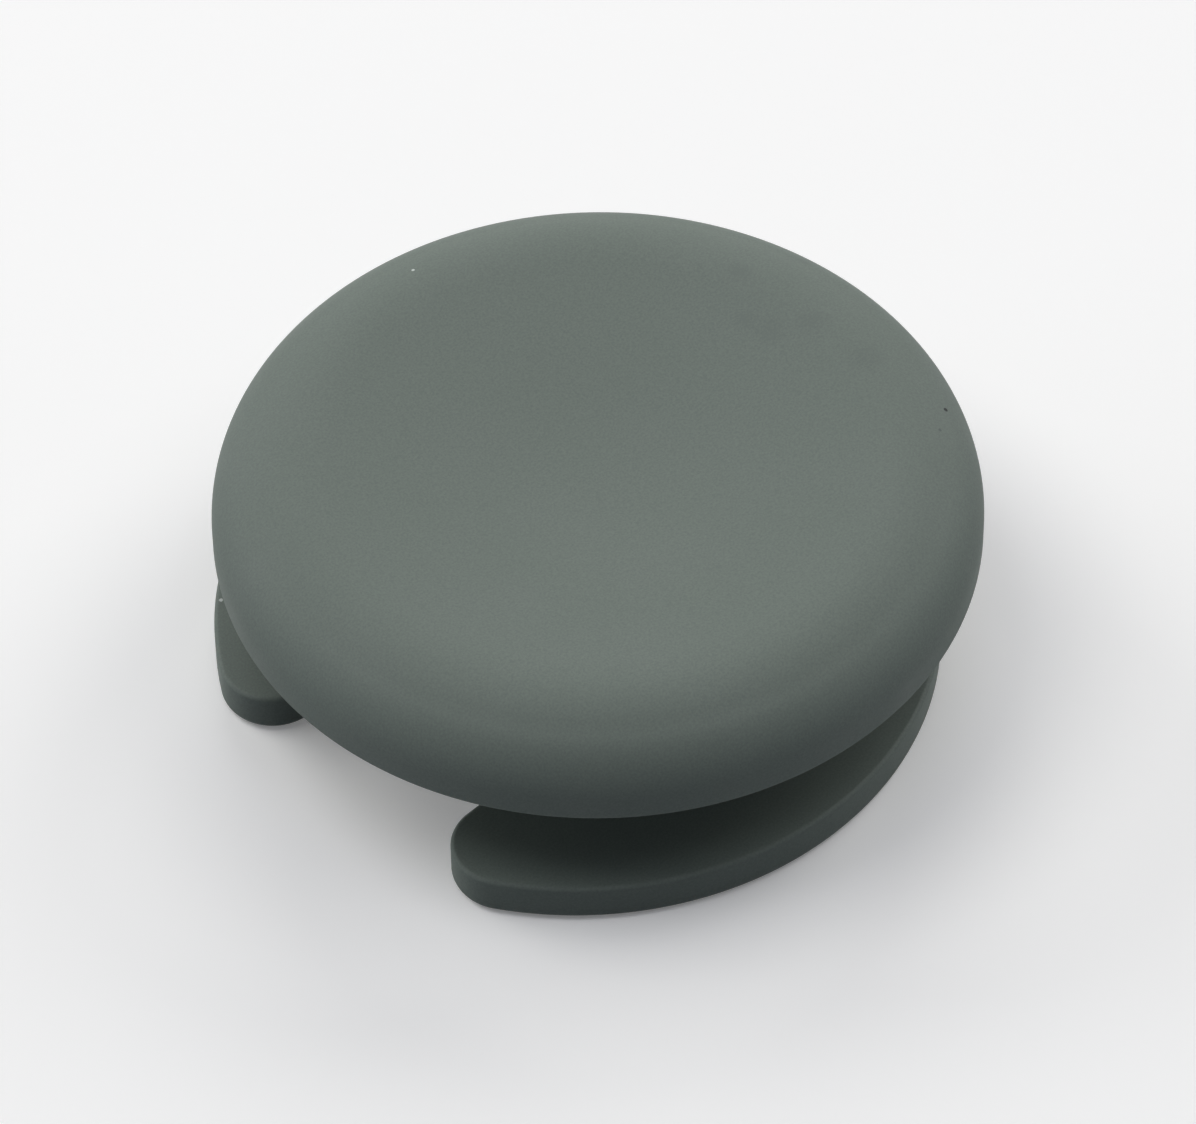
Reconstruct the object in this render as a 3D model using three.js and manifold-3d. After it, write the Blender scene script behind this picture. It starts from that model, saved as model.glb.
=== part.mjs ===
// Slide-pad thumb cap for a handheld console: a dished round pad on a short neck, with two wings at its foot.
// The cap is one plastic moulding, so it is one mesh.
// Millimetres, +Z up. The origin is on the pad's axis, in the plane that the wings stand on.
// X runs along the two slots that part the wings.

import * as THREE from "three";
import { mergeVertices } from "three/addons/utils/BufferGeometryUtils.js";
import Module from "manifold-3d";

// Main sizes
const CAP_HEIGHT = 5.89; // from the wings' underside up to the crown
const PAD_DIAMETER = 16.5;
const WING_DIAMETER = 15.8; // circle that both wings' outer edges lie on

// Thumb pad
const DISH_DEPTH = 0.7; // from the crown, the pad's highest ring, down to the middle of the dish
const CROWN_ROUND = 3; // radius that leads from the crown into the dish
const RIM_ROUND_WIDTH = 2.1; // soft outer round, from the crown out to the pad's edge
const RIM_ROUND_HEIGHT = 1.57; // and from the crown down to the upright band
const RIM_BAND_HEIGHT = 0.45; // upright band
const RIM_LOWER_ROUND = 0.15; // edge between that band and the flat underside

// Neck and wings, which stand a little off the pad's axis
const BASE_SHIFT_X = -0.33;
const BASE_SHIFT_Y = 0.32;
const NECK_DIAMETER = 6.4;
const NECK_FILLET = 0.3; // where the neck meets the pad and the wings
const WING_THICKNESS = 1.05;
const WING_UPPER_ROUND = 0.1; // a crisp upper edge
const WING_LOWER_ROUND = 0.3; // and a softer lower one, all the way round
const WING_TIP_ROUND = 1.15; // corners at the open end of each slot
const SLOT_WIDTH = 4.9;
const SLOT_END_ROUND = 0.5; // corners at the closed end of each slot
const SLOT_END_LEDGE = 0.4; // flat left between the neck's fillet and the slot's rounded edge

// Socket for the slider's square post
const SOCKET_WIDTH = 3.4;
const SOCKET_CORNER_ROUND = 0.4;
const SOCKET_LEAD_IN = 0.3; // chamfer round the socket's mouth
const SOCKET_ROOF = 1.74; // plastic left between the socket's end and the middle of the dish

// Facets
const PAD_SEGMENTS = 96;
const NECK_SEGMENTS = 64;
const DISH_STEPS = 7;
const CROWN_STEPS = 3;
const RIM_STEPS = 10;
const ROUND_STEPS = 4; // small rounds and fillets
const WING_STEPS = 23; // along half of one wing's outer edge
const CORNER_STEPS = 8; // wing tips and slot ends

// Finish
const CAP_COLOUR = 0x6c7570;
const CAP_ROUGHNESS = 0.62;

// Radii and heights that follow from the sizes above
const padRadius = PAD_DIAMETER / 2;
const crownRadius = padRadius - RIM_ROUND_WIDTH;
const neckRadius = NECK_DIAMETER / 2;
const wingRadius = WING_DIAMETER / 2;
const slotHalfWidth = SLOT_WIDTH / 2;
const slotEndX = neckRadius + NECK_FILLET + SLOT_END_LEDGE + WING_UPPER_ROUND;
const padUndersideZ = CAP_HEIGHT - RIM_ROUND_HEIGHT - RIM_BAND_HEIGHT - RIM_LOWER_ROUND;
const dishZ = CAP_HEIGHT - DISH_DEPTH;
const socketEndZ = dishZ - SOCKET_ROOF;

const wasm = await Module();
wasm.setup();

// Points along a stretch of an ellipse, from one angle to another in degrees, both ends included.
// It runs clockwise where the second angle is the smaller one.
function ellipseArc(centreX, centreY, radiusX, radiusY, from, to, steps) {
  const start = THREE.MathUtils.degToRad(from);
  const end = THREE.MathUtils.degToRad(to);
  return new THREE.EllipseCurve(centreX, centreY, radiusX, radiusY, start, end, to < from).getPoints(steps);
}

function arc(centreX, centreY, radius, from, to, steps) {
  return ellipseArc(centreX, centreY, radius, radius, from, to, steps);
}

// Geometry to solid, with shared corners merged.
function toSolid(geometry) {
  const bare = geometry.clone();
  bare.deleteAttribute("normal");
  bare.deleteAttribute("uv");
  const merged = mergeVertices(bare);
  return new wasm.Manifold(
    new wasm.Mesh({
      numProp: 3,
      vertProperties: merged.attributes.position.array,
      triVerts: new Uint32Array(merged.index.array),
    }),
  );
}

// Solid back to geometry, with flat-shaded faces.
function toGeometry(solid) {
  const mesh = solid.getMesh();
  const shared = new THREE.BufferGeometry();
  shared.setAttribute("position", new THREE.BufferAttribute(mesh.vertProperties, mesh.numProp));
  shared.setIndex(new THREE.BufferAttribute(mesh.triVerts, 1));
  const flat = shared.toNonIndexed();
  flat.computeVertexNormals();
  return flat;
}

// Solid turned about the Z axis from a closed profile of radius and height, which starts and ends on the axis.
function revolve(profile, segments) {
  const geometry = new THREE.LatheGeometry(profile, segments);
  geometry.rotateX(Math.PI / 2);
  return geometry;
}

// Closed skin through a stack of like outlines: each level has a height and an outline with the same number
// of points, and the two end levels are capped.
function loft(levels) {
  const count = levels[0].outline.length;
  const positions = levels.flatMap(({ z, outline }) => outline.flatMap((p) => [p.x, p.y, z]));
  const indices = [];
  for (let level = 0; level + 1 < levels.length; level++) {
    const low = level * count;
    const high = low + count;
    for (let i = 0; i < count; i++) {
      const next = (i + 1) % count;
      indices.push(low + i, low + next, high + next);
      indices.push(low + i, high + next, high + i);
    }
  }
  const top = (levels.length - 1) * count;
  for (const [a, b, c] of THREE.ShapeUtils.triangulateShape(levels[0].outline, [])) {
    indices.push(a, c, b);
    indices.push(top + a, top + b, top + c);
  }
  const geometry = new THREE.BufferGeometry();
  geometry.setAttribute("position", new THREE.Float32BufferAttribute(positions, 3));
  geometry.setIndex(indices);
  return geometry;
}

// The pad: flat below, with a soft rim and a dish that is a shallow piece of a sphere.
function pad() {
  // The crown's round meets the sphere tangentially, which fixes the angle at which they join.
  const joinAngle = 2 * Math.atan(DISH_DEPTH / crownRadius);
  const dishRadius = crownRadius / Math.sin(joinAngle) - CROWN_ROUND;
  const join = THREE.MathUtils.radToDeg(joinAngle);
  const bandLowZ = padUndersideZ + RIM_LOWER_ROUND;
  const bandHighZ = bandLowZ + RIM_BAND_HEIGHT;

  return revolve(
    [
      new THREE.Vector2(0, padUndersideZ),
      ...arc(padRadius - RIM_LOWER_ROUND, bandLowZ, RIM_LOWER_ROUND, -90, 0, ROUND_STEPS),
      ...ellipseArc(crownRadius, bandHighZ, RIM_ROUND_WIDTH, RIM_ROUND_HEIGHT, 0, 90, RIM_STEPS),
      ...arc(crownRadius, CAP_HEIGHT - CROWN_ROUND, CROWN_ROUND, 90, 90 + join, CROWN_STEPS).slice(1, -1),
      ...arc(0, dishZ + dishRadius, dishRadius, -90 + join, -90, DISH_STEPS).slice(0, -1),
      new THREE.Vector2(0, dishZ),
    ],
    PAD_SEGMENTS,
  );
}

// The neck, filleted into the wings and the pad. Both its ends lie inside them.
function neck() {
  const flareRadius = neckRadius + NECK_FILLET;
  const footZ = WING_THICKNESS / 2;
  const headZ = (padUndersideZ + dishZ) / 2;
  const lowFilletZ = WING_THICKNESS + NECK_FILLET;
  const highFilletZ = padUndersideZ - NECK_FILLET;

  return revolve(
    [
      new THREE.Vector2(0, footZ),
      new THREE.Vector2(flareRadius, footZ),
      ...arc(flareRadius, lowFilletZ, NECK_FILLET, 270, 180, ROUND_STEPS),
      ...arc(flareRadius, highFilletZ, NECK_FILLET, 180, 90, ROUND_STEPS),
      new THREE.Vector2(flareRadius, headZ),
      new THREE.Vector2(0, headZ),
    ],
    NECK_SEGMENTS,
  );
}

// Plan outline of the two wings and the bridge between them, drawn in by an inset so that a stack of
// outlines rounds the edges. One quarter is drawn, from the slot's end out round the wing's tip, and mirrored.
function wingOutline(inset) {
  const endCentreX = slotEndX + SLOT_END_ROUND;
  const endCentreY = slotHalfWidth - SLOT_END_ROUND;
  // The tip's round can be no larger than the wall between the wing's edge and the slot's end allows.
  const largestTipRound =
    (wingRadius ** 2 - slotHalfWidth ** 2 - endCentreX ** 2) / (2 * (wingRadius + slotHalfWidth));
  const tipRound = Math.min(WING_TIP_ROUND, largestTipRound);
  const tipCentreY = slotHalfWidth + tipRound;
  const tipCentreX = Math.sqrt((wingRadius - tipRound) ** 2 - tipCentreY ** 2);
  const tipAngle = THREE.MathUtils.radToDeg(Math.atan2(tipCentreY, tipCentreX));

  const quarter = [
    ...arc(endCentreX, endCentreY, SLOT_END_ROUND + inset, 180, 90, CORNER_STEPS),
    ...arc(tipCentreX, tipCentreY, tipRound - inset, -90, tipAngle, CORNER_STEPS),
    ...arc(0, 0, wingRadius - inset, tipAngle, 90, WING_STEPS).slice(1),
  ];
  const mirrored = (sideX, sideY) => quarter.map((p) => new THREE.Vector2(sideX * p.x, sideY * p.y));
  return [
    ...mirrored(1, 1),
    ...mirrored(-1, 1).reverse().slice(1),
    ...mirrored(-1, -1),
    ...mirrored(1, -1).reverse().slice(1),
  ];
}

// The wings, with a round along their lower and upper edges.
function wings() {
  const upperCentreZ = WING_THICKNESS - WING_UPPER_ROUND;
  // How far the outline is drawn in, against the height above the lower face.
  const edge = [
    ...arc(WING_LOWER_ROUND, WING_LOWER_ROUND, WING_LOWER_ROUND, 270, 180, ROUND_STEPS),
    ...arc(WING_UPPER_ROUND, upperCentreZ, WING_UPPER_ROUND, 180, 90, ROUND_STEPS),
  ];
  return loft(edge.map((p) => ({ z: p.y, outline: wingOutline(p.x) })));
}

// Outline of the socket, grown by the same amount on every side.
function socketOutline(growth) {
  const cornerCentre = SOCKET_WIDTH / 2 - SOCKET_CORNER_ROUND;
  const corner = (sideX, sideY, from) =>
    arc(
      sideX * cornerCentre,
      sideY * cornerCentre,
      SOCKET_CORNER_ROUND + growth,
      from,
      from + 90,
      ROUND_STEPS,
    );
  return [...corner(1, 1, 0), ...corner(-1, 1, 90), ...corner(-1, -1, 180), ...corner(1, -1, 270)];
}

// The space that the post and its lead-in take out of the neck, run out past the underside.
function socket() {
  return loft([
    { z: -SOCKET_LEAD_IN, outline: socketOutline(2 * SOCKET_LEAD_IN) },
    { z: SOCKET_LEAD_IN, outline: socketOutline(0) },
    { z: socketEndZ, outline: socketOutline(0) },
  ]);
}

function cap() {
  const onBase = (geometry) => toSolid(geometry.translate(BASE_SHIFT_X, BASE_SHIFT_Y, 0));
  return toSolid(pad()).add(onBase(neck())).add(onBase(wings())).subtract(onBase(socket()));
}

const capPlastic = new THREE.MeshStandardMaterial({
  name: "cap_plastic",
  color: CAP_COLOUR,
  roughness: CAP_ROUGHNESS,
  metalness: 0,
});

const thumbstickCap = new THREE.Mesh(toGeometry(cap()), capPlastic);
thumbstickCap.name = "thumbstick_cap";

const part = new THREE.Group();
part.add(thumbstickCap);

export default part;
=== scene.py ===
"""Thumb cap of a handheld console's slide pad: one matte plastic moulding on a plain pale floor."""

import math

import bmesh
import bpy
from bpy.props import FloatProperty, FloatVectorProperty, IntProperty, PointerProperty
from mathutils import Matrix, Vector


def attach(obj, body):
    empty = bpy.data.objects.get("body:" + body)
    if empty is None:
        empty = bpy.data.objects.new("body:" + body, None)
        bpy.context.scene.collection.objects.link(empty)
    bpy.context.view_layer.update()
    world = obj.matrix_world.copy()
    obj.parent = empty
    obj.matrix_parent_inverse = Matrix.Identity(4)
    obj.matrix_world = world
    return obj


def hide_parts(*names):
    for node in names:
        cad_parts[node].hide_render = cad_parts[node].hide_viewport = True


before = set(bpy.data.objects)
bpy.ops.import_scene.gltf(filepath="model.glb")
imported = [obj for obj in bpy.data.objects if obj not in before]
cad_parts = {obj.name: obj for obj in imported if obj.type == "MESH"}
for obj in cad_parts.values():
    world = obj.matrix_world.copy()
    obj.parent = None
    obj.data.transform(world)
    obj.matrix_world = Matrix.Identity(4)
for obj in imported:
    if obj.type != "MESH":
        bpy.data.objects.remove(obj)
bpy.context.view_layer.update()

bl_info = {
    "name": "Thumb cap",
    "version": (1, 0, 0),
    "blender": (4, 5, 0),
    "location": "View3D > Sidebar > Thumb cap",
    "description": "Dished thumb pad on a neck, with two wings at its foot, in matte moulded plastic",
    "category": "Add Mesh",
}

MM = 0.001
NODE = "thumbstick_cap"
PHOTO_WIDTH, PHOTO_HEIGHT = 1196, 1124
CROWN_IN_PHOTO = (597.178, 456.014)  # the crown's middle, in the photograph's pixels

# Soft panels round the cap: name, turn to the right of straight behind it and height above the
# floor, both in degrees, share of the light, and which of the stage's two lights it gives.
PANELS = (
    ("behind_panel", 0, 36, 0.14, "key"),
    ("back_left_panel", -60, 26, 0.19, "key"),
    ("back_right_panel", 50, 30, 0.17, "key"),
    ("left_panel", -90, 64, 0.17, "key"),
    ("left_low_panel", -90, 10, 0.10, "fill"),
    ("right_panel", 90, 60, 0.08, "key"),
    ("right_low_panel", 90, 10, 0.05, "fill"),
    ("overhead_panel", 180, 78, 0.10, "fill"),
)
PANEL_DISTANCE = 0.5
PANEL_WIDTH = 0.3
FLOOR_REACH = 0.6  # from the middle to each side of the floor
CLIP_NEAR, CLIP_FAR = 0.01, 10  # the camera sees everything between these distances

# Marks on the cap: place of each middle, and radius, all in millimetres
GRIT = ((6.493, -4.037, 5.45, 0.065),)
FAINT_GRIT = ((5.87, -4.452, 5.603, 0.05),)
DUST = ((1.089, 6.801, 5.806, 0.045), (-5.663, 5.967, 1.05, 0.055))
SMUDGES = (
    (6.05, -0.46, 5.88, 0.5),
    (6.12, -2.05, 5.88, 0.6),
    (5.26, 0.03, 5.8, 0.5),
    (6.01, 1.7, 5.89, 0.4),
    (7.6, 1.18, 5.42, 0.4),
    (5.12, 0.65, 5.79, 0.4),
)
GRAIN_FADE = 0.4  # share of its radius over which a grain's edge fades out
SMUDGE_FADE = 1.0
SMUDGE_STRENGTH = 0.5
RAGGED = 0.5  # how far a mark's edge wanders in and out, as a share of its radius
RAGGED_SCALE = 0.03 * MM

# The mould's grain is drawn at 0.05 mm. A finer one, as the real one may be, wouldn't show.
GRAIN = 0.05 * MM
GRAIN_DEPTH = 0.004 * MM
CLOUD = 2.5 * MM  # faint clouding that handling leaves

ROUND_POINTS = 33  # points along each long round of the pad's profile
CROWN_POINTS = 17  # points along the crown's short round into the dish
LAND = 0.05 * MM  # narrow flat strip beside each round, which keeps the flat faces' shading flat
WELD = 0.001 * MM  # points nearer than this are one point
CREASE = math.radians(30)  # edges sharper than this stay crisp
QUARTER_TURN = math.pi / 2


# Sizes and finishes that a user would change


def linear(hex_colour):
    """sRGB hex colour as linear red, green, blue and alpha."""
    values = []
    for start in (1, 3, 5):
        channel = int(hex_colour[start : start + 2], 16) / 255
        dark = channel <= 0.04045
        values.append(channel / 12.92 if dark else ((channel + 0.055) / 1.055) ** 2.4)
    return (*values, 1.0)


def length(name, millimetres, description):
    """A length of the cap, held in metres and shown in the scene's unit."""
    return FloatProperty(
        name=name,
        description=description,
        default=millimetres * MM,
        unit="LENGTH",
        subtype="DISTANCE",
        precision=5,
    )


def turn(name, degrees, description):
    """An angle, held in radians and shown in degrees."""
    return FloatProperty(
        name=name,
        description=description,
        default=math.radians(degrees),
        subtype="ANGLE",
    )


def colour(name, hex_colour, description):
    """A colour of a finish, held in linear values."""
    return FloatVectorProperty(
        name=name,
        description=description,
        size=4,
        min=0,
        max=1,
        default=linear(hex_colour),
        subtype="COLOR",
    )


class CapSizes(bpy.types.PropertyGroup):
    """Sizes of the cap."""

    cap_height: length("Cap height", 5.89, "From the wings' underside up to the crown")
    pad_diameter: length("Pad diameter", 16.5, "Across the thumb pad")
    dish_slope: turn("Dish slope", 7, "Fall of the dish's straight flank towards the middle")
    dish_middle: length("Dish middle", 2.5, "Radius of the dish's rounded middle, inside the flank")
    crown_round: length("Crown round", 4.6, "Radius that leads from the crown into the dish")
    shoulder_round: length("Shoulder round", 2.1, "Radius that leads from the crown into the bevel")
    bevel_slope: turn("Bevel slope", 27, "Fall of the short bevel on the rim")
    rim_width: length("Rim width", 1.95, "From the crown out to the pad's edge")
    rim_height: length("Rim height", 1.57, "From the crown down to the upright band")
    band_height: length("Band height", 0.45, "Upright band below the rim's round")
    pad_lower_round: length("Pad lower round", 0.15, "Edge between the band and the pad's underside")
    base_shift_x: length("Base shift X", -0.33, "How far the neck and the wings stand off the pad's axis")
    base_shift_y: length("Base shift Y", 0.32, "How far the neck and the wings stand off the pad's axis")
    neck_diameter: length("Neck diameter", 6.4, "Across the neck")
    neck_fillet: length("Neck fillet", 0.3, "Where the neck meets the pad and the wings")
    wing_diameter: length("Wing diameter", 15.8, "Circle that both wings' outer edges lie on")
    wing_thickness: length("Wing thickness", 1.05, "Thickness of the two wings")
    wing_upper_round: length("Wing upper round", 0.1, "Crisp upper edge of the wings")
    wing_lower_round: length("Wing lower round", 0.3, "Softer lower edge of the wings")
    tip_round: length("Wing tip round", 1.15, "Corners at the open end of each slot")
    slot_width: length("Slot width", 4.9, "Between the two wings")
    slot_end_round: length("Slot end round", 0.5, "Corners at the closed end of each slot")
    slot_end_ledge: length("Slot end ledge", 0.4, "Flat left between the neck's fillet and the slot")
    socket_width: length("Socket width", 3.4, "Square socket for the slider's post")
    socket_round: length("Socket corner round", 0.4, "Upright corners of the socket")
    socket_lead_in: length("Socket lead-in", 0.3, "Chamfer round the socket's mouth")
    socket_depth: length("Socket depth", 3.45, "From the wings' underside up to the socket's end")
    segments: IntProperty(name="Segments", description="Facets round the pad", default=240, min=24)
    steps: IntProperty(name="Steps", description="Facets across a small round", default=8, min=2)


class CapFinish(bpy.types.PropertyGroup):
    """Colours of the plastic, of the painted shade in its grain's pits and of what handling and dirt have
    left on it.
    """

    plastic: colour("Plastic", "#707A71", "The moulded plastic, on the peaks of its grain")
    # Painted shade in the grain's pits, and the real clouding and smudges of handling, share this colour.
    pit_shade_and_wear: colour("Pits and smudges", "#666F68", "In the pits of the grain and where fingers have been")
    grit: colour("Grit", "#1E211F", "A dark grain stuck to the pad")
    faint_grit: colour("Faint grit", "#59615C", "A grain that has sunk into the texture")
    dust: colour("Dust", "#C9CEC8", "Pale grains of dust")


class StageSettings(bpy.types.PropertyGroup):
    """Floor, light and camera."""

    floor: colour("Floor", "#FEFDF9", "The pale floor, as the camera and reflections see it")
    glow: FloatProperty(
        name="Floor's glow",
        description="Lift of the floor's white, for the camera and reflections",
        default=0.15,
    )
    bounce: colour("Floor's bounce", "#888C97", "What the floor throws back on the cap")
    light: FloatProperty(
        name="Light",
        description="Power of all panels together",
        default=3.5,
        unit="POWER",
    )
    key: colour("Key light", "#FFFFFF", "Light of the panels behind and beside the cap")
    fill: colour("Fill light", "#E8ECFB", "Cooler light of the low and the overhead panel")
    ambient: colour("Ambient light", "#2A2C36", "What the surroundings throw on the cap")
    distance: length("Camera distance", 150, "From the camera to the crown's middle")
    elevation: turn("Camera elevation", 47.3836, "Height of the camera above the floor")
    azimuth: turn("Camera azimuth", -134.1, "Direction of the camera from +X towards +Y")
    roll: turn("Camera roll", -0.744845, "Turn about the sight line")
    focal_pixels: FloatProperty(
        name="Focal length in pixels",
        description="Of the photograph's width",
        default=7074.75,
    )


# Small tools


def node(tree, kind, inputs=None, **settings):
    """Adds a node, makes its settings, and fills or links its inputs.

    Inputs are given by name or number. A list of sockets is linked into the same input in turn."""
    made = tree.nodes.new(kind)
    for name, value in settings.items():
        setattr(made, name, value)
    for key, value in (inputs or {}).items():
        sources = value if isinstance(value, list) else [value]
        for source in sources:
            if isinstance(source, bpy.types.NodeSocket):
                tree.links.new(source, made.inputs[key])
            else:
                made.inputs[key].default_value = source
    return made


def linked(name, data):
    """A new object in the scene, at the origin."""
    made = bpy.data.objects.new(name, data)
    bpy.context.scene.collection.objects.link(made)
    return made


# The moulding


def arc_points(centre_x, centre_y, radius, start, end, steps):
    """Points along an arc, from one angle to another in radians, both ends included."""
    angles = [start + (end - start) * i / steps for i in range(steps + 1)]
    return [
        Vector((centre_x + radius * math.cos(angle), centre_y + radius * math.sin(angle), 0))
        for angle in angles
    ]


def wing_outline(sizes):
    """Plan outline of the two wings and their bridge: one quarter, mirrored, as a closed ring."""
    wing_radius = sizes.wing_diameter / 2
    half_slot = sizes.slot_width / 2
    neck_reach = sizes.neck_diameter / 2 + sizes.neck_fillet
    slot_end = neck_reach + sizes.slot_end_ledge + sizes.wing_upper_round
    corner_x = slot_end + sizes.slot_end_round
    corner_y = half_slot - sizes.slot_end_round
    tip_y = half_slot + sizes.tip_round
    tip_x = math.sqrt((wing_radius - sizes.tip_round) ** 2 - tip_y**2)
    tip_angle = math.atan2(tip_y, tip_x)
    quarter = [
        *arc_points(
            corner_x, corner_y, sizes.slot_end_round, math.pi, QUARTER_TURN, 2 * sizes.steps
        ),
        *arc_points(tip_x, tip_y, sizes.tip_round, -QUARTER_TURN, tip_angle, 3 * sizes.steps),
        *arc_points(0, 0, wing_radius, tip_angle, QUARTER_TURN, 6 * sizes.steps)[1:],
    ]

    def mirrored(side_x, side_y):
        return [Vector((side_x * p.x, side_y * p.y, 0)) for p in quarter]

    return [
        *mirrored(1, 1),
        *mirrored(-1, 1)[::-1][1:],
        *mirrored(-1, -1),
        *mirrored(1, -1)[::-1][1:],
    ]


def cap_dimensions(sizes):
    """The tree's inputs, worked out from the sizes.

    A profile's points are measured from the edge that the profile follows."""
    pad_radius = sizes.pad_diameter / 2
    crown_radius = pad_radius - sizes.rim_width
    underside = sizes.cap_height - sizes.rim_height - sizes.band_height - sizes.pad_lower_round
    band_low = underside + sizes.pad_lower_round
    band_high = band_low + sizes.band_height

    # Dish: a rounded middle, a straight flank and the crown's round, each tangent to the next
    slope, bevel = sizes.dish_slope, sizes.bevel_slope
    dish_radius = sizes.dish_middle / math.sin(slope)
    flank_out = crown_radius - sizes.crown_round * math.sin(slope)
    flank_high = sizes.cap_height - sizes.crown_round * (1 - math.cos(slope))
    flank_low = flank_high - (flank_out - sizes.dish_middle) * math.tan(slope)

    # Rim: the shoulder's round, a short bevel, and the outer round that ends upright on the band
    shoulder_out = crown_radius + sizes.shoulder_round * math.sin(bevel)
    shoulder_low = sizes.cap_height - sizes.shoulder_round * (1 - math.cos(bevel))
    drop = shoulder_low - (pad_radius - shoulder_out) * math.tan(bevel) - band_high
    outer_round = drop / (math.cos(bevel) - (1 - math.sin(bevel)) * math.tan(bevel))
    bevel_out = -outer_round * (1 - math.sin(bevel))
    bevel_low = band_high + outer_round * math.cos(bevel)
    return {
        "Segments": sizes.segments,
        "Steps": sizes.steps,
        "Pad Radius": pad_radius,
        "Pad Underside": underside,
        "Dish Radius": dish_radius,
        "Dish Slope": slope,
        "Dish Centre": (-pad_radius, flank_low + dish_radius * math.cos(slope), 0),
        "Flank Foot": (sizes.dish_middle - pad_radius, flank_low, 0),
        "Flank Head": (flank_out - pad_radius, flank_high, 0),
        "Crown Round": sizes.crown_round,
        "Crown Centre": (crown_radius - pad_radius, sizes.cap_height - sizes.crown_round, 0),
        "Shoulder Round": sizes.shoulder_round,
        "Shoulder Start": QUARTER_TURN - bevel,
        "Bevel Slope": bevel,
        "Shoulder Centre": (crown_radius - pad_radius, sizes.cap_height - sizes.shoulder_round, 0),
        "Bevel Head": (shoulder_out - pad_radius, shoulder_low, 0),
        "Bevel Foot": (bevel_out, bevel_low, 0),
        "Outer Round": outer_round,
        "Outer Round Centre": (-outer_round, band_high, 0),
        "Band Low": (0, band_low, 0),
        "Band High": (0, band_high, 0),
        "Lower Round": sizes.pad_lower_round,
        "Lower Round Centre": (-sizes.pad_lower_round, band_low, 0),
        "Underside Edge": (-sizes.pad_lower_round, underside, 0),
        "Underside Land": (-sizes.pad_lower_round - LAND, underside, 0),
        "Base Shift": (sizes.base_shift_x, sizes.base_shift_y, 0),
        "Neck Radius": sizes.neck_diameter / 2,
        "Neck Fillet": sizes.neck_fillet,
        "Neck Top Land": (sizes.neck_fillet + LAND, underside, 0),
        "Neck Top": (0, underside, 0),
        "Neck Foot": (0, sizes.wing_thickness, 0),
        "Neck Foot Land": (sizes.neck_fillet + LAND, sizes.wing_thickness, 0),
        "Wing Thickness": sizes.wing_thickness,
        "Wing Upper Round": sizes.wing_upper_round,
        "Wing Lower Round": sizes.wing_lower_round,
        "Wing Top Land": (-sizes.wing_upper_round - LAND, sizes.wing_thickness, 0),
        "Wing Bottom Land": (-sizes.wing_lower_round - LAND, 0, 0),
        "Socket Width": sizes.socket_width,
        "Socket Round": sizes.socket_round,
        "Socket End": sizes.socket_depth,
        "Socket Mouth": (sizes.socket_lead_in, 0, 0),
        "Socket Throat": (0, sizes.socket_lead_in, 0),
        "Socket Head": (0, sizes.socket_depth, 0),
    }


def add_inputs(tree, values):
    """Gives the tree a named input for each value, and returns each input's identifier by name."""
    kinds = {int: "NodeSocketInt", float: "NodeSocketFloat", tuple: "NodeSocketVector"}
    found = {}
    for name, value in values.items():
        kind = kinds.get(type(value), "NodeSocketMaterial")
        socket = tree.interface.new_socket(name=name, in_out="INPUT", socket_type=kind)
        found[name] = socket.identifier
    return found


def flat_face_tree():
    """Nodes that close a level opening: the open edges at one height are filled with a flat face."""
    tree = bpy.data.node_groups.new("Flat face at a height", "GeometryNodeTree")
    for name, kind in (("Mesh", "NodeSocketGeometry"), ("Height", "NodeSocketFloat")):
        tree.interface.new_socket(name=name, in_out="INPUT", socket_type=kind)
    tree.interface.new_socket(name="Mesh", in_out="OUTPUT", socket_type="NodeSocketGeometry")
    given = tree.nodes.new("NodeGroupInput").outputs

    position = node(tree, "GeometryNodeInputPosition")
    place = node(tree, "ShaderNodeSeparateXYZ", {0: position.outputs[0]})
    level = node(
        tree,
        "FunctionNodeCompare",
        {"A": place.outputs["Z"], "B": given["Height"], "Epsilon": WELD},
        operation="EQUAL",
    )
    faces = node(tree, "GeometryNodeInputMeshEdgeNeighbors")
    # An edge with one face is open.
    is_open = node(
        tree,
        "FunctionNodeCompare",
        {2: faces.outputs[0], 3: 1},
        data_type="INT",
        operation="EQUAL",
    )
    both = node(
        tree,
        "FunctionNodeBooleanMath",
        {0: level.outputs[0], 1: is_open.outputs[0]},
        operation="AND",
    )
    rings = node(
        tree,
        "GeometryNodeMeshToCurve",
        {"Mesh": given["Mesh"], "Selection": both.outputs[0]},
    )
    filled = node(tree, "GeometryNodeFillCurve", {"Curve": rings.outputs[0]}, mode="TRIANGLES")
    up = node(tree, "ShaderNodeCombineXYZ", {"Z": given["Height"]})
    raised = node(
        tree,
        "GeometryNodeTransform",
        {"Geometry": filled.outputs[0], "Translation": up.outputs[0]},
    )
    node(tree, "NodeGroupOutput", {0: raised.outputs[0]})
    return tree


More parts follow.
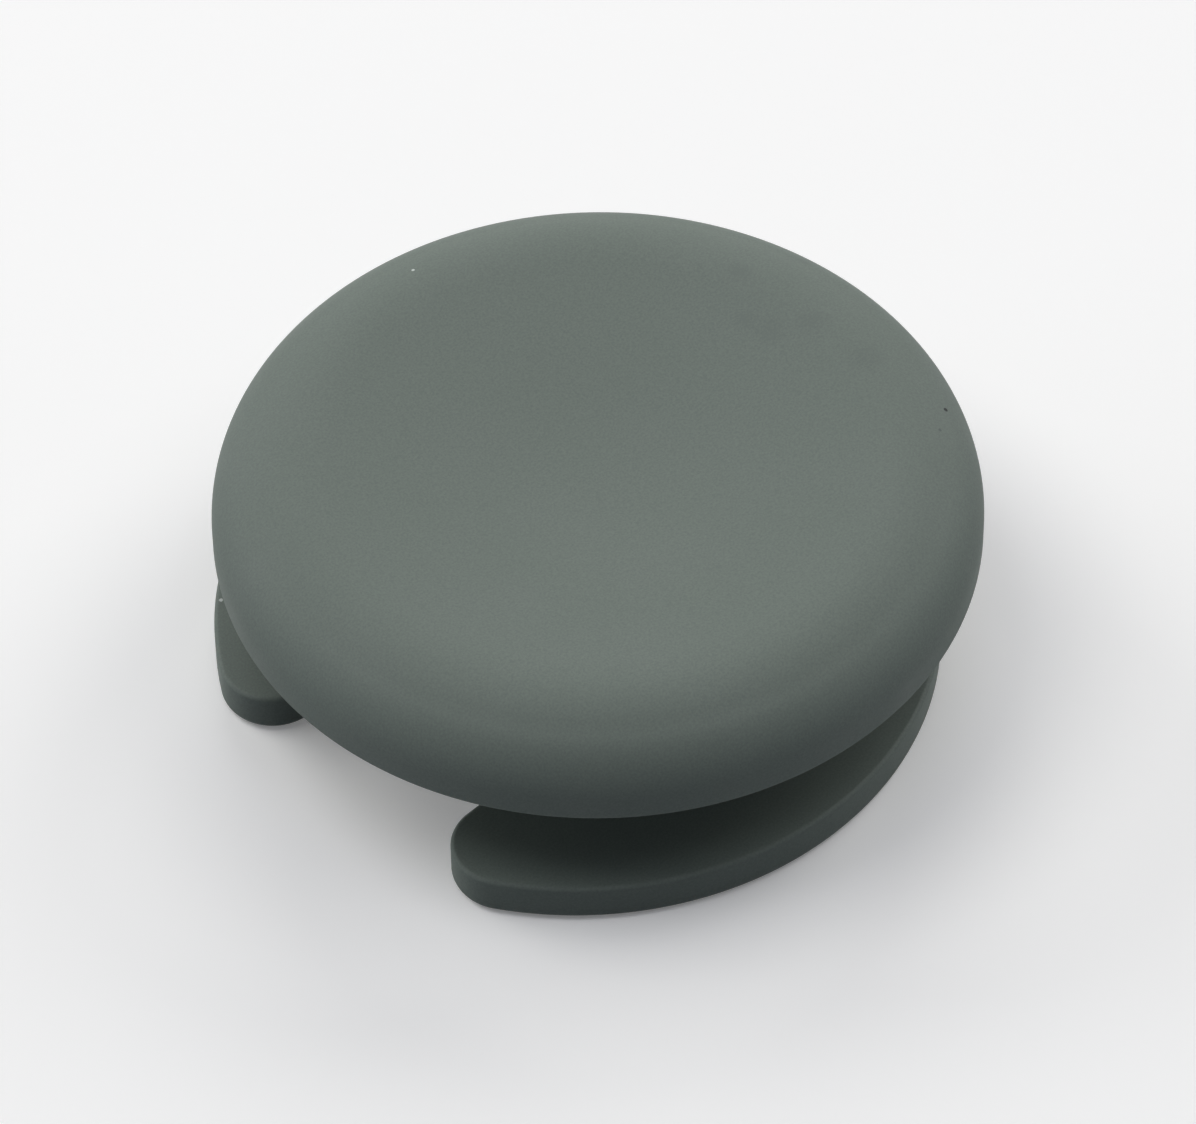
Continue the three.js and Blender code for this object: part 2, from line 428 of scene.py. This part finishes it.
def cap_tree(values):
    """Nodes that sweep each profile round its path, close the flat faces and weld one skin.

    The geometry that comes in is the wings' plan outline."""
    tree = bpy.data.node_groups.new("Moulded thumb cap", "GeometryNodeTree")
    tree.interface.new_socket(name="Wing Outline", in_out="INPUT", socket_type="NodeSocketGeometry")
    identifiers = add_inputs(tree, values)
    tree.interface.new_socket(name="Cap", in_out="OUTPUT", socket_type="NodeSocketGeometry")
    given = tree.nodes.new("NodeGroupInput").outputs

    # Pad: the profile's rounds and straight stretches, from the dish out and down to the underside.
    # Each round has its centre, radius, start angle, sweep and number of points.
    slope, bevel, shoulder = given["Dish Slope"], given["Bevel Slope"], given["Shoulder Start"]
    rounds = (
        ("Dish Centre", "Dish Radius", -QUARTER_TURN, slope, ROUND_POINTS),
        ("Crown Centre", "Crown Round", QUARTER_TURN, slope, CROWN_POINTS),
        ("Shoulder Centre", "Shoulder Round", shoulder, bevel, ROUND_POINTS),
        ("Outer Round Centre", "Outer Round", 0.0, shoulder, ROUND_POINTS),
        ("Lower Round Centre", "Lower Round", -QUARTER_TURN, QUARTER_TURN, given["Steps"]),
    )
    straights = (
        ("Flank Foot", "Flank Head"),
        ("Bevel Head", "Bevel Foot"),
        ("Band Low", "Band High"),
        ("Underside Land", "Underside Edge"),
    )
    stretches = []
    for centre, radius, start, sweep, points in rounds:
        arc = node(
            tree,
            "GeometryNodeCurveArc",
            {
                "Resolution": points,
                "Radius": given[radius],
                "Start Angle": start,
                "Sweep Angle": sweep,
            },
        )
        placed = node(tree, "GeometryNodeTransform", {0: arc.outputs[0], 1: given[centre]})
        stretches.append(placed.outputs[0])
    for start, end in straights:
        line = node(tree, "GeometryNodeCurvePrimitiveLine", {0: given[start], 1: given[end]})
        stretches.append(line.outputs[0])
    profile = node(tree, "GeometryNodeJoinGeometry", {0: stretches})
    path = node(
        tree,
        "GeometryNodeCurvePrimitiveCircle",
        {"Resolution": given["Segments"], "Radius": given["Pad Radius"]},
    )
    pad = node(tree, "GeometryNodeCurveToMesh", {0: path.outputs[0], 1: profile.outputs[0]})

    # Neck: an upright line, filleted into a strip of the pad's underside and of the wings' top
    corners = node(
        tree,
        "GeometryNodeCurvePrimitiveQuadrilateral",
        {
            "Point 1": given["Neck Top Land"],
            "Point 2": given["Neck Top"],
            "Point 3": given["Neck Foot"],
            "Point 4": given["Neck Foot Land"],
        },
        mode="POINTS",
    )
    corners = node(tree, "GeometryNodeSetSplineCyclic", {0: corners.outputs[0], "Cyclic": False})
    profile = node(
        tree,
        "GeometryNodeFilletCurve",
        {0: corners.outputs[0], "Count": given["Steps"], "Radius": given["Neck Fillet"]},
        mode="POLY",
    )
    path = node(
        tree,
        "GeometryNodeCurvePrimitiveCircle",
        {"Resolution": given["Segments"], "Radius": given["Neck Radius"]},
    )
    neck = node(tree, "GeometryNodeCurveToMesh", {0: path.outputs[0], 1: profile.outputs[0]})

    # Wings: a rounded edge all the way round the plan outline
    corners = node(
        tree,
        "GeometryNodeCurvePrimitiveQuadrilateral",
        {
            "Point 1": given["Wing Top Land"],
            "Point 2": given["Neck Foot"],
            "Point 3": (0, 0, 0),
            "Point 4": given["Wing Bottom Land"],
        },
        mode="POINTS",
    )
    corners = node(tree, "GeometryNodeSetSplineCyclic", {0: corners.outputs[0], "Cyclic": False})
    # The profile's corners are numbered from the top, so 1 is the upper edge and 2 the lower one.
    index = node(tree, "GeometryNodeInputIndex")
    is_lower = node(
        tree,
        "FunctionNodeCompare",
        {2: index.outputs[0], 3: 1},
        data_type="INT",
        operation="GREATER_THAN",
    )
    radius = node(
        tree,
        "GeometryNodeSwitch",
        {
            "Switch": is_lower.outputs[0],
            "False": given["Wing Upper Round"],
            "True": given["Wing Lower Round"],
        },
        input_type="FLOAT",
    )
    profile = node(
        tree,
        "GeometryNodeFilletCurve",
        {0: corners.outputs[0], "Count": given["Steps"], "Radius": radius.outputs[0]},
        mode="POLY",
    )
    path = node(tree, "GeometryNodeMeshToCurve", {0: given["Wing Outline"]})
    wings = node(tree, "GeometryNodeCurveToMesh", {0: path.outputs[0], 1: profile.outputs[0]})

    # Socket: a square path with rounded corners, and a profile of lead-in chamfer and wall
    square = node(
        tree,
        "GeometryNodeCurvePrimitiveQuadrilateral",
        {"Width": given["Socket Width"], "Height": given["Socket Width"]},
    )
    path = node(
        tree,
        "GeometryNodeFilletCurve",
        {0: square.outputs[0], "Count": given["Steps"], "Radius": given["Socket Round"]},
        mode="POLY",
    )
    chamfer = node(
        tree,
        "GeometryNodeCurvePrimitiveLine",
        {0: given["Socket Mouth"], 1: given["Socket Throat"]},
    )
    wall = node(
        tree,
        "GeometryNodeCurvePrimitiveLine",
        {0: given["Socket Throat"], 1: given["Socket Head"]},
    )
    profile = node(tree, "GeometryNodeJoinGeometry", {0: [chamfer.outputs[0], wall.outputs[0]]})
    socket = node(tree, "GeometryNodeCurveToMesh", {0: path.outputs[0], 1: profile.outputs[0]})

    # The neck, the wings and the socket share one axis, a little off the pad's.
    parts = [part.outputs[0] for part in (neck, wings, socket)]
    base = node(tree, "GeometryNodeJoinGeometry", {0: parts})
    base = node(tree, "GeometryNodeTransform", {0: base.outputs[0], 1: given["Base Shift"]})
    swept = node(tree, "GeometryNodeJoinGeometry", {0: [pad.outputs[0], base.outputs[0]]})
    # A sweep lays a profile's heights downwards, so the whole is turned the right way up.
    swept = node(tree, "GeometryNodeTransform", {0: swept.outputs[0], "Scale": (1, 1, -1)})
    swept = node(tree, "GeometryNodeMergeByDistance", {0: swept.outputs[0], "Distance": WELD})

    flat_face = flat_face_tree()
    levels = (given["Pad Underside"], given["Wing Thickness"], 0.0, given["Socket End"])
    surfaces = [swept.outputs[0]]
    for level in levels:
        flat = node(
            tree,
            "GeometryNodeGroup",
            {"Mesh": swept.outputs[0], "Height": level},
            node_tree=flat_face,
        )
        surfaces.append(flat.outputs[0])
    skin = node(tree, "GeometryNodeJoinGeometry", {0: surfaces})
    skin = node(tree, "GeometryNodeMergeByDistance", {0: skin.outputs[0], "Distance": WELD})

    smooth = node(tree, "GeometryNodeSetShadeSmooth", {0: skin.outputs[0]})
    real = node(tree, "GeometryNodeRealizeInstances", {0: smooth.outputs[0]})
    finished = node(
        tree,
        "GeometryNodeSetMaterial",
        {0: real.outputs[0], "Material": given["Plastic"]},
    )
    node(tree, "NodeGroupOutput", {0: finished.outputs[0]})
    return tree, identifiers


def moulding_mesh(outline, values):
    """The evaluated tree's result as a plain closed mesh whose faces point outwards."""
    sketch = bpy.data.meshes.new("wing_outline")
    count = len(outline)
    sketch.from_pydata(outline, [(i, (i + 1) % count) for i in range(count)], [])
    made = linked("cap_moulding", sketch)
    tree, identifiers = cap_tree(values)
    modifier = made.modifiers.new("Moulded thumb cap", "NODES")
    modifier.node_group = tree
    for name, value in values.items():
        modifier[identifiers[name]] = value
    evaluated = made.evaluated_get(bpy.context.evaluated_depsgraph_get())
    mesh = bpy.data.meshes.new_from_object(evaluated)
    made.modifiers.remove(modifier)

    skin = bmesh.new()
    skin.from_mesh(mesh)
    if not skin.faces or any(not edge.is_manifold for edge in skin.edges):
        raise RuntimeError("the moulding's skin isn't closed")
    bmesh.ops.recalc_face_normals(skin, faces=skin.faces)
    for edge in skin.edges:
        edge.smooth = edge.calc_face_angle() < CREASE
    skin.to_mesh(mesh)
    skin.free()
    mesh.name = made.name
    made.data = mesh
    bpy.data.meshes.remove(sketch)
    return made


# Finishes


def marks(tree, place, spots, fade):
    """1 inside each spot and 0 outside all of them.

    A spot is a place and a radius in millimetres, and fade is the share of the radius over which
    it fades out. A fine noise makes its edge ragged."""
    rough = node(
        tree,
        "ShaderNodeTexNoise",
        {"Vector": place, "Scale": 1 / RAGGED_SCALE, "Detail": 1.0},
    )
    covered = 0.0
    for x, y, z, radius in spots:
        away = node(
            tree,
            "ShaderNodeVectorMath",
            {0: place, 1: (x * MM, y * MM, z * MM)},
            operation="DISTANCE",
        )
        # The noise lies about a half, so a spot's edges are moved by half of its reach as well.
        pushed = node(
            tree,
            "ShaderNodeMath",
            {0: rough.outputs[0], 1: RAGGED * radius * MM, 2: away.outputs["Value"]},
            operation="MULTIPLY_ADD",
        )
        inside = node(
            tree,
            "ShaderNodeMapRange",
            {
                "Value": pushed.outputs[0],
                "From Min": (1 - fade + RAGGED / 2) * radius * MM,
                "From Max": (1 + RAGGED / 2) * radius * MM,
                "To Min": 1.0,
                "To Max": 0.0,
            },
            interpolation_type="SMOOTHSTEP",
        )
        either = node(
            tree,
            "ShaderNodeMath",
            {0: covered, 1: inside.outputs[0]},
            operation="MAXIMUM",
        )
        covered = either.outputs[0]
    return covered


def moulded_abs(finish):
    """ABS from a spark-eroded mould: a fine, even grain that spreads highlights to a soft sheen."""
    material = bpy.data.materials.new("moulded_abs_spark_textured")
    material.use_nodes = True
    tree = material.node_tree
    shader = tree.nodes["Principled BSDF"]
    place = node(tree, "ShaderNodeTexCoord").outputs["Object"]

    grain = node(
        tree,
        "ShaderNodeTexNoise",
        {"Vector": place, "Scale": 1 / GRAIN, "Detail": 2.0},
    ).outputs[0]
    bump = node(
        tree,
        "ShaderNodeBump",
        {"Height": grain, "Strength": 0.3, "Distance": GRAIN_DEPTH},
    )
    # Painted shade: the pits of the grain are drawn darker than its peaks, where shade falls into them.
    pits = node(
        tree,
        "ShaderNodeMapRange",
        {"Value": grain, "From Min": 0.3, "From Max": 0.7, "To Min": 1.0, "To Max": 0.0},
    ).outputs[0]
    # Handling clouds the colour faintly and leaves smudges.
    cloud = node(
        tree,
        "ShaderNodeTexNoise",
        {"Vector": place, "Scale": 1 / CLOUD, "Detail": 3.0},
    ).outputs[0]
    handled = node(
        tree,
        "ShaderNodeMapRange",
        {"Value": cloud, "From Min": 0.4, "From Max": 0.7, "To Min": -0.1, "To Max": 0.1},
    ).outputs[0]
    smudged = marks(tree, place, SMUDGES, SMUDGE_FADE)
    # Painted shade in the pits, with the real clouding and smudges laid on top of it.
    shade_and_handling = node(tree, "ShaderNodeMath", {0: pits, 1: handled}, operation="ADD")
    shade_and_handling = node(
        tree,
        "ShaderNodeMath",
        {0: smudged, 1: SMUDGE_STRENGTH, 2: shade_and_handling.outputs[0]},
        operation="MULTIPLY_ADD",
    )
    layers = (
        (shade_and_handling.outputs[0], finish.pit_shade_and_wear),
        (marks(tree, place, GRIT, GRAIN_FADE), finish.grit),
        (marks(tree, place, FAINT_GRIT, GRAIN_FADE), finish.faint_grit),
        (marks(tree, place, DUST, GRAIN_FADE), finish.dust),
    )
    surface = tuple(finish.plastic)
    for mask, tint in layers:
        mixed = node(
            tree,
            "ShaderNodeMix",
            {"Factor": mask, "A": surface, "B": tuple(tint)},
            data_type="RGBA",
        )
        surface = mixed.outputs["Result"]
    # Handling also polishes the grain a little.
    polish = node(
        tree,
        "ShaderNodeMapRange",
        {"Value": cloud, "From Min": 0.4, "From Max": 0.7, "To Min": 0.68, "To Max": 0.6},
    )
    tree.links.new(surface, shader.inputs["Base Color"])
    tree.links.new(polish.outputs[0], shader.inputs["Roughness"])
    tree.links.new(bump.outputs[0], shader.inputs["Normal"])
    shader.inputs["IOR"].default_value = 1.53
    shader.inputs["Specular IOR Level"].default_value = 0.3
    return material


def seen_ray(tree):
    """1 for rays that show the surroundings: seen directly, in a reflection or through glass."""
    rays = node(tree, "ShaderNodeLightPath").outputs
    seen = rays["Is Camera Ray"]
    for kind in ("Is Glossy Ray", "Is Transmission Ray"):
        either = node(tree, "ShaderNodeMath", {0: seen, 1: rays[kind]}, operation="MAXIMUM")
        seen = either.outputs[0]
    return seen


def pale_floor(stage):
    """Matt card: white when seen or reflected, darker in what it throws back on the cap."""
    material = bpy.data.materials.new("matt_white_card")
    material.use_nodes = True
    tree = material.node_tree
    seen = seen_ray(tree)
    card = node(
        tree,
        "ShaderNodeMix",
        {"Factor": seen, "A": tuple(stage.bounce), "B": tuple(stage.floor)},
        data_type="RGBA",
    )
    matt = node(tree, "ShaderNodeBsdfDiffuse", {"Color": card.outputs["Result"]})
    lift = node(tree, "ShaderNodeMath", {0: seen, 1: stage.glow}, operation="MULTIPLY")
    glow = node(tree, "ShaderNodeEmission", {"Strength": lift.outputs[0]})
    both = node(tree, "ShaderNodeAddShader", {0: matt.outputs[0], 1: glow.outputs[0]})
    tree.links.new(both.outputs[0], tree.nodes["Material Output"].inputs["Surface"])
    tree.nodes.remove(tree.nodes["Principled BSDF"])
    return material


# Operators


class CAP_OT_moulding(bpy.types.Operator):
    """Make the cap's moulding and give it its plastic"""

    bl_idname = "cap.moulding"
    bl_label = "Moulding"

    def execute(self, context):
        sizes = context.scene.cap_sizes
        values = cap_dimensions(sizes)
        values["Plastic"] = moulded_abs(context.scene.cap_finish)
        moulding = moulding_mesh(wing_outline(sizes), values)
        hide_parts(NODE)
        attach(moulding, "root")
        return {"FINISHED"}


class CAP_OT_stage(bpy.types.Operator):
    """Lay the floor and set up the lights"""

    bl_idname = "cap.stage"
    bl_label = "Floor and lights"

    def execute(self, context):
        stage = context.scene.cap_stage
        mesh = bpy.data.meshes.new("floor")
        corners = [
            (-FLOOR_REACH, -FLOOR_REACH, 0),
            (FLOOR_REACH, -FLOOR_REACH, 0),
            (FLOOR_REACH, FLOOR_REACH, 0),
            (-FLOOR_REACH, FLOOR_REACH, 0),
        ]
        mesh.from_pydata(corners, [], [(0, 1, 2, 3)])
        mesh.materials.append(pale_floor(stage))
        linked("floor", mesh)

        # Along and across the sight line
        away = Vector((-math.cos(stage.azimuth), -math.sin(stage.azimuth), 0))
        right = away.cross(Vector((0, 0, 1)))
        for name, bearing, height, share, light in PANELS:
            bearing = math.radians(bearing)
            height = math.radians(height)
            level = (away * math.cos(bearing) + right * math.sin(bearing)) * math.cos(height)
            position = (level + Vector((0, 0, math.sin(height)))) * PANEL_DISTANCE
            lamp = bpy.data.lights.new(name, "AREA")
            lamp.shape = "DISK"
            lamp.size = PANEL_WIDTH
            lamp.energy = stage.light * share
            lamp.color = tuple(getattr(stage, light))[:3]
            panel = linked(name, lamp)
            facing = position.to_track_quat("Z", "Y").to_matrix().to_4x4()
            panel.matrix_world = Matrix.Translation(position) @ facing

        world = bpy.data.worlds.new("studio")
        world.use_nodes = True
        tree = world.node_tree
        shown = tree.nodes["Background"]
        around = node(
            tree,
            "ShaderNodeMix",
            {"Factor": seen_ray(tree), "A": tuple(stage.ambient), "B": (1, 1, 1, 1)},
            data_type="RGBA",
        )
        tree.links.new(around.outputs["Result"], shown.inputs["Color"])
        context.scene.world = world
        context.scene.view_settings.view_transform = "Standard"
        return {"FINISHED"}


class CAP_OT_camera(bpy.types.Operator):
    """Place the camera so that the crown's middle falls where the photograph shows it"""

    bl_idname = "cap.camera"
    bl_label = "Camera"

    def execute(self, context):
        stage = context.scene.cap_stage
        crown_across, crown_down = CROWN_IN_PHOTO
        target = Vector((0, 0, context.scene.cap_sizes.cap_height))
        back = Vector(
            (
                math.cos(stage.elevation) * math.cos(stage.azimuth),
                math.cos(stage.elevation) * math.sin(stage.azimuth),
                math.sin(stage.elevation),
            )
        )
        right = Vector((0, 0, 1)).cross(back).normalized()
        up = back.cross(right)
        facing = Matrix((right, up, back)).transposed()
        ray = Vector(
            (
                (crown_across - PHOTO_WIDTH / 2) / stage.focal_pixels,
                -(crown_down - PHOTO_HEIGHT / 2) / stage.focal_pixels,
                -1,
            )
        )
        aim = ray.rotation_difference(Vector((0, 0, -1))).to_matrix()
        turned = facing @ Matrix.Rotation(stage.roll, 3, "Z") @ aim
        camera = linked("camera", bpy.data.cameras.new("camera"))
        camera.matrix_world = Matrix.Translation(target + back * stage.distance) @ turned.to_4x4()
        camera.data.sensor_fit = "HORIZONTAL"
        camera.data.lens = stage.focal_pixels / PHOTO_WIDTH * camera.data.sensor_width
        camera.data.clip_start = CLIP_NEAR
        camera.data.clip_end = CLIP_FAR
        context.scene.camera = camera
        return {"FINISHED"}


class CAP_PT_panel(bpy.types.Panel):
    """Sizes, finishes and the steps that make the scene"""

    bl_label = "Thumb cap"
    bl_idname = "CAP_PT_panel"
    bl_space_type = "VIEW_3D"
    bl_region_type = "UI"
    bl_category = "Thumb cap"

    def draw(self, context):
        for group in (context.scene.cap_sizes, context.scene.cap_finish, context.scene.cap_stage):
            box = self.layout.box()
            for name in type(group).__annotations__:
                box.prop(group, name)
        for operator in OPERATORS:
            self.layout.operator(operator.bl_idname)


OPERATORS = (CAP_OT_moulding, CAP_OT_stage, CAP_OT_camera)
CLASSES = (CapSizes, CapFinish, StageSettings, *OPERATORS, CAP_PT_panel)


def register():
    """Registers the classes and gives the scene their settings."""
    for cls in CLASSES:
        bpy.utils.register_class(cls)
    bpy.types.Scene.cap_sizes = PointerProperty(type=CapSizes)
    bpy.types.Scene.cap_finish = PointerProperty(type=CapFinish)
    bpy.types.Scene.cap_stage = PointerProperty(type=StageSettings)


def unregister():
    """Takes the settings and the classes away again."""
    del bpy.types.Scene.cap_stage
    del bpy.types.Scene.cap_finish
    del bpy.types.Scene.cap_sizes
    for cls in reversed(CLASSES):
        bpy.utils.unregister_class(cls)


def main():
    register()
    bpy.ops.cap.moulding()
    bpy.ops.cap.stage()
    bpy.ops.cap.camera()


if __name__ == "__main__":
    main()
